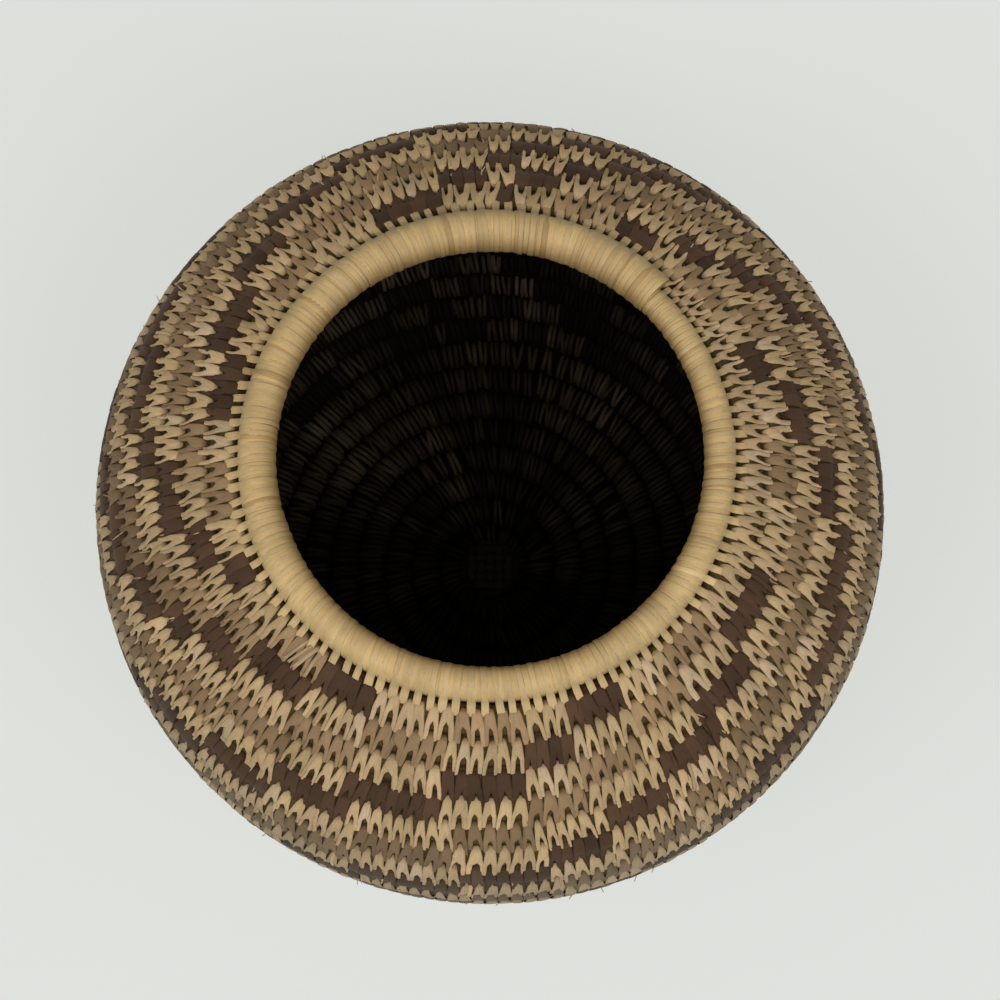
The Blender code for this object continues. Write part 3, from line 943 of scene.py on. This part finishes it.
def rim_teeth(teeth, material):
    """Every third splint of the rim, which goes over it and is sewn down into the coil's last row."""
    bend = np.radians(np.linspace(-165.0, 150.0, TOOTH_BEND_STEPS))
    distance, part = teeth["distance"], teeth["part"]
    radius = teeth["radius"] + TOOTH_RISE
    row_width = coil_course(TURNS - 1.0 + part)[1]
    reach = -teeth["width"] / 2.0 - TOOTH_DOWN * row_width * rng.uniform(0.92, 1.1, part.shape)
    along = np.concatenate([radius * np.cos(bend), reach], 1)
    low = TOOTH_HEIGHTS * np.clip(row_width / PITCH, 0.66, 1.0)
    off = np.concatenate([radius * np.sin(bend), low], 1)
    eased = TOOTH_BEND_STEPS - 4
    for _ in range(2):
        neighbours = off[:, eased - 1 : -2] + off[:, eased + 1 :]
        off[:, eased:-1] = off[:, eased:-1] * 0.5 + neighbours * 0.25
    q = np.linspace(0.0, 1.0, along.shape[1])
    lean = np.arctan2(np.gradient(off, axis=1), np.gradient(along, axis=1)) - math.pi / 2.0
    slip = teeth["slant"] * np.concatenate([np.cos(bend), -1.0 - 1.5 * TOOTH_DOWN])
    slip = slip + rng.normal(0.0, 0.0002, part.shape) * smooth_step((q - 0.6) / 0.4)
    turn = part - slip / metres_round(distance)
    path = place(distance + along, turn, off)
    across, normal = rim_axes(distance, turn, lean)

    over = smooth_step((q - 0.55) / 0.25)
    narrow = rng.normal(TOOTH_WIDTH, TOOTH_WIDTH_SCATTER, part.shape) * np.sqrt(row_width / PITCH)
    pointed = 1.0 - 0.5 * smooth_step((q - 0.93) / 0.07)
    strip = teeth["strip"] * (1.0 - over) + narrow * over * pointed
    # Painted shade round the hoop, on the teeth too.
    below = rim_shade_and_browning(np.full(len(TOOTH_DOWN), math.radians(100.0)), part)
    below = below * (1.0 - 0.4 * smooth_step(TOOTH_DOWN / 0.1 - 3.2))[:, None]
    tint = teeth["tint"] * COOLER * np.concatenate([rim_shade_and_browning(bend, part), below], 1)
    mesh = strip_mesh(
        "rim_teeth", path, across, normal, strip, SPLINT_THICKNESS, tint, section=RIM_SECTION
    )
    add_piece(mesh, material, "straw_splints")


def rim_grass(material):
    """The rim's own hoop of grass, under its splints."""
    ring = np.linspace(0.0, 1.0, RIM_GRASS_RINGS)[:, None]
    angle = full_circle(RIM_GRASS_SIDES)
    distance, width = rim_course(ring)
    hoop = (width - COIL_GAP) / 2.0 - RIM_GRASS_INSET
    points = place(distance + hoop * np.cos(angle), ring, hoop * np.sin(angle))
    mesh = tube_mesh("rim_grass", points, STRAW * 0.5, angle, ring * RIM_LENGTH_MM)
    add_piece(mesh, material, "beargrass", "rim_core")


# The start knot: a button of grass with five splints each way over both of its faces.

KNOT_TOP = BASE_HEIGHT + GRASS_HALF_THICKNESS
KNOT_REACH = KNOT_RADIUS - 0.0006
KNOT_LANES = 5
KNOT_LANE_SPACE = 0.0027
KNOT_SPLINT_WIDTH = 0.0025
KNOT_SPLINT_THICKNESS = 0.0004
KNOT_STEPS = 15
KNOT_WEAVE_HEIGHT = 0.00022
KNOT_EDGE_DROP = 0.0016
KNOT_UNDERSIDE = 0.0006
KNOT_SIDES = 32

# Rings of the grass button from below: shares of the knot's reach, and heights.
KNOT_RINGS = ((0.9, 0.0008), (1.12, 0.002), (1.12, KNOT_TOP - 0.0015), (0.85, KNOT_TOP - 0.0002))


def knot_splint(number, level, face, turned):
    """Path, sideways direction and normal of one splint of the plait."""
    lane = (number - (KNOT_LANES - 1) / 2.0) * KNOT_LANE_SPACE
    half = math.sqrt(max(KNOT_REACH**2 - lane**2, 0.0004**2))
    run = np.linspace(-half, half, KNOT_STEPS)
    over = np.cos(math.pi * (run / KNOT_LANE_SPACE) + math.pi * (number + (1 if turned else 0)))
    edge = (np.abs(run) / half) ** 6
    z = level + face * (KNOT_WEAVE_HEIGHT * over - KNOT_EDGE_DROP * edge)
    if face < 0:
        z = np.maximum(z, 0.00005 + 0.0001 * (1.0 - over))
    beside = np.full(KNOT_STEPS, lane)
    x, y = (beside, run) if turned else (run, beside)
    sideways = (-face, 0.0, 0.0) if turned else (0.0, face, 0.0)
    path = np.stack([x, y, z], -1)
    return path, np.broadcast_to(sideways, path.shape), np.broadcast_to((0.0, 0.0, face), path.shape)


def knot_plait(material):
    """The plait, whose splints go over and under each other, painted near black on the inside of the
    basket as painted shade.
    """
    splints = [
        knot_splint(number, level, face, turned)
        for face, level in ((1.0, KNOT_TOP), (-1.0, KNOT_UNDERSIDE))
        for turned in (False, True)
        for number in range(KNOT_LANES)
    ]
    path, across, normal = (np.array(values) for values in zip(*splints))
    tint = LIGHT * 0.72 * rng.normal(1.0, 0.08, (len(path), 1))
    # The plait's top face, inside the basket, is painted near black as painted shade.
    tint[: len(path) // 2] = SHADED_INSIDE * 2.0
    sizes = (KNOT_SPLINT_WIDTH, KNOT_SPLINT_THICKNESS)
    mesh = strip_mesh("start_knot_plait", path, across, normal, *sizes, tint[:, None])
    add_piece(mesh, material, "light_yucca", "start_knot")


def knot_grass(material):
    """The button of grass inside the plait."""
    angle = full_circle(KNOT_SIDES)
    points = np.array(
        [
            (KNOT_REACH * share * math.cos(side), KNOT_REACH * share * math.sin(side), height)
            for share, height in KNOT_RINGS
            for side in angle
        ]
    )
    index = np.arange(len(points)).reshape(-1, KNOT_SIDES)
    low, high = index[:-1], index[1:]
    quads = np.stack([low, np.roll(low, -1, 1), np.roll(high, -1, 1), high], -1).reshape(-1, 4)
    caps = [index[0, ::-1].tolist(), index[-1].tolist()]
    mesh = bpy.data.meshes.new("start_knot_grass")
    mesh.from_pydata(points.tolist(), [], quads.tolist() + caps)
    # The grass colour, darkened further as painted shade inside the plait.
    give_looks(mesh, SHADED_GRASS * 0.7, points * MILLIMETRES_PER_METRE)
    add_piece(mesh, material, "beargrass")


# The stage, the light and the camera.

FLOOR_HALF_SIZE = 4.0
FLOOR_DROP = 0.0001
FLOOR_COLOURS = ((0.775, 0.797, 0.768, 1.0), (0.808, 0.830, 0.802, 1.0))
FLOOR_GLOW = 0.7
ROOM_COLOURS = ((1.0, 0.99, 0.97, 1.0), (1.0, 0.92, 0.80, 1.0))
ROOM_STRENGTHS = (0.46, 0.15)
ROOM_DARKER_TOWARDS = (0.75, 0.55, 0.0)
SEEN_ROOM_COLOUR = (0.75, 0.76, 0.73, 1.0)
LAMPS = (("key", (1.8, -2.2, 3.3), 66.0), ("fill", (-2.1, -1.7, 3.4), 54.0))
LAMP_SIZE = 2.6
LAMP_TARGET = (0.0, 0.0, 0.1)
CAMERA_TILT = 75.6
CAMERA_DISTANCE = 0.80
CAMERA_TARGET_HEIGHT = 0.1371
CAMERA_LENS = 113.70
CAMERA_SENSOR = 36.0
CAMERA_SHIFT = (0.0099, -0.0446)


def mixed_colour(tree, factor, colours):
    """A colour between two."""
    mix = tree.nodes.new("ShaderNodeMix")
    mix.data_type = "RGBA"
    mix.inputs["A"].default_value, mix.inputs["B"].default_value = colours
    tree.links.new(factor, mix.inputs["Factor"])
    return mix.outputs["Result"]


def mix_shaders(tree, factor, first, second, output):
    """Send a mix of two shaders to the tree's output node."""
    mix = tree.nodes.new("ShaderNodeMixShader")
    tree.links.new(factor, mix.inputs["Fac"])
    tree.links.new(first, mix.inputs[1])
    tree.links.new(second, mix.inputs[2])
    tree.links.new(mix.outputs["Shader"], tree.nodes[output].inputs["Surface"])


def seen_rays(tree):
    """1 for rays from the camera, a mirror or glass, 0 for light on the basket."""
    path = tree.nodes.new("ShaderNodeLightPath")
    total = path.outputs["Is Camera Ray"]
    for name in ("Is Glossy Ray", "Is Transmission Ray"):
        total = combined(tree, "ShaderNodeMath", "MAXIMUM", total, path.outputs[name])
    return total


def pale_floor():
    """A plain pale floor that keeps the basket's shadow and looks a little brighter to the camera."""
    size = FLOOR_HALF_SIZE
    corners = [(-size, -size, 0), (size, -size, 0), (size, size, 0), (-size, size, 0)]
    mesh = bpy.data.meshes.new("floor")
    mesh.from_pydata(corners, [], [(0, 1, 2, 3)])
    floor = bpy.data.objects.new("floor", mesh)
    floor.location.z = -FLOOR_DROP
    bpy.context.scene.collection.objects.link(floor)
    material = bpy.data.materials.new("pale_table")
    material.use_nodes = True
    tree = material.node_tree
    shader = tree.nodes["Principled BSDF"]
    shader.inputs["Roughness"].default_value = 0.9
    shader.inputs["Specular IOR Level"].default_value = 0.1
    place_in = tree.nodes.new("ShaderNodeTexCoord").outputs["Object"]
    colour = mixed_colour(tree, noise(tree, place_in, Scale=3.0), FLOOR_COLOURS)
    tree.links.new(colour, shader.inputs["Base Color"])
    glow = tree.nodes.new("ShaderNodeEmission")
    tree.links.new(colour, glow.inputs["Color"])
    share = combined(tree, "ShaderNodeMath", "MULTIPLY", seen_rays(tree), FLOOR_GLOW)
    mix_shaders(tree, share, shader.outputs["BSDF"], glow.outputs["Emission"], "Material Output")
    mesh.materials.append(material)


def soft_room():
    """A soft room: a little darker to one side and overhead, and warmer behind the basket."""
    world = bpy.data.worlds.new("soft_room")
    bpy.context.scene.world = world
    world.use_nodes = True
    tree = world.node_tree
    sky = tree.nodes["Background"]
    toward = tree.nodes.new("ShaderNodeTexCoord").outputs["Generated"]
    split = tree.nodes.new("ShaderNodeSeparateXYZ")
    tree.links.new(toward, split.inputs["Vector"])
    overhead = ranged(tree, split.outputs["Z"], (0.80, 0.95), ROOM_STRENGTHS)
    aside = combined(tree, "ShaderNodeVectorMath", "DOT_PRODUCT", toward, ROOM_DARKER_TOWARDS)
    sideways = ranged(tree, aside, (-0.6, 0.8), (1.12, 0.74))
    behind = ranged(tree, split.outputs["Y"], (-0.3, 0.7), (0.0, 1.0))
    tree.links.new(mixed_colour(tree, behind, ROOM_COLOURS), sky.inputs["Color"])
    strength = combined(tree, "ShaderNodeMath", "MULTIPLY", overhead, sideways)
    tree.links.new(strength, sky.inputs["Strength"])
    seen = tree.nodes.new("ShaderNodeBackground")
    seen.inputs["Color"].default_value = SEEN_ROOM_COLOUR
    seen.inputs["Strength"].default_value = 1.0
    shaders = (sky.outputs["Background"], seen.outputs["Background"])
    mix_shaders(tree, seen_rays(tree), *shaders, "World Output")


def soft_lamps():
    """Two large soft lamps above the viewer's side."""
    for name, spot, power in LAMPS:
        light = bpy.data.lights.new(name, "AREA")
        light.size = LAMP_SIZE
        light.energy = power
        lamp = bpy.data.objects.new(name, light)
        lamp.location = spot
        aim = np.array(LAMP_TARGET) - np.array(spot)
        nod = math.atan2(math.hypot(aim[0], aim[1]), -aim[2])
        turn = math.atan2(aim[1], aim[0]) - math.pi / 2.0
        lamp.rotation_euler = (nod, 0.0, turn)
        bpy.context.scene.collection.objects.link(lamp)


def photo_camera():
    """A camera at the photograph's viewing angle and framing."""
    camera_data = bpy.data.cameras.new("camera")
    camera = bpy.data.objects.new("camera", camera_data)
    bpy.context.scene.collection.objects.link(camera)
    tilt = math.radians(CAMERA_TILT)
    height = CAMERA_TARGET_HEIGHT + CAMERA_DISTANCE * math.sin(tilt)
    camera.location = (0.0, -CAMERA_DISTANCE * math.cos(tilt), height)
    camera.rotation_euler = (math.pi / 2.0 - tilt, 0.0, 0.0)
    camera_data.sensor_width = CAMERA_SENSOR
    camera_data.lens = CAMERA_LENS
    camera_data.shift_x, camera_data.shift_y = CAMERA_SHIFT
    bpy.context.scene.camera = camera
    bpy.context.scene.view_settings.view_transform = "Standard"


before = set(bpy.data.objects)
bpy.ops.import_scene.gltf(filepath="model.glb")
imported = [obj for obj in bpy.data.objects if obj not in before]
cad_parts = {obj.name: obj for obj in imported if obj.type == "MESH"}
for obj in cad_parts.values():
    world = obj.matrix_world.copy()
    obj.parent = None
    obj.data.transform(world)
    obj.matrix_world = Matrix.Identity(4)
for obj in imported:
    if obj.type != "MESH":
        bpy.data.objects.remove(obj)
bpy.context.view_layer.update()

materials = {
    "L": splint_material("light_yucca_splint", 0.66, 0.16, 0.5),
    "B": splint_material("brown_splint", 0.68, 0.14, 0.5),
    "D": splint_material("dark_splint", 0.62, 0.16, 0.5),
    # The inside's splints carry colours painted near black as painted shade.
    "inside": splint_material("shaded_inside_splint", 0.75, 0.2, 0.5, gloss=0.1),
    "grass": splint_material("beargrass_bundle", 0.85, 0.4, 0.9, 0.6, 0.05),
    "straw": splint_material("straw_rim_splint", 0.46, 0.10, 0.35, gloss=0.3),
}
for section_name, first_turn, last_turn in coil_sections():
    grass_coil(section_name, first_turn, last_turn, materials["grass"])
main_stitches(materials)
loose_stitches(materials["L"])
wraps, teeth = rim_splints()
rim_wraps(wraps, materials["straw"])
rim_teeth(teeth, materials["straw"])
rim_grass(materials["grass"])
knot_plait(materials["L"])
knot_grass(materials["grass"])
pale_floor()
soft_room()
soft_lamps()
photo_camera()
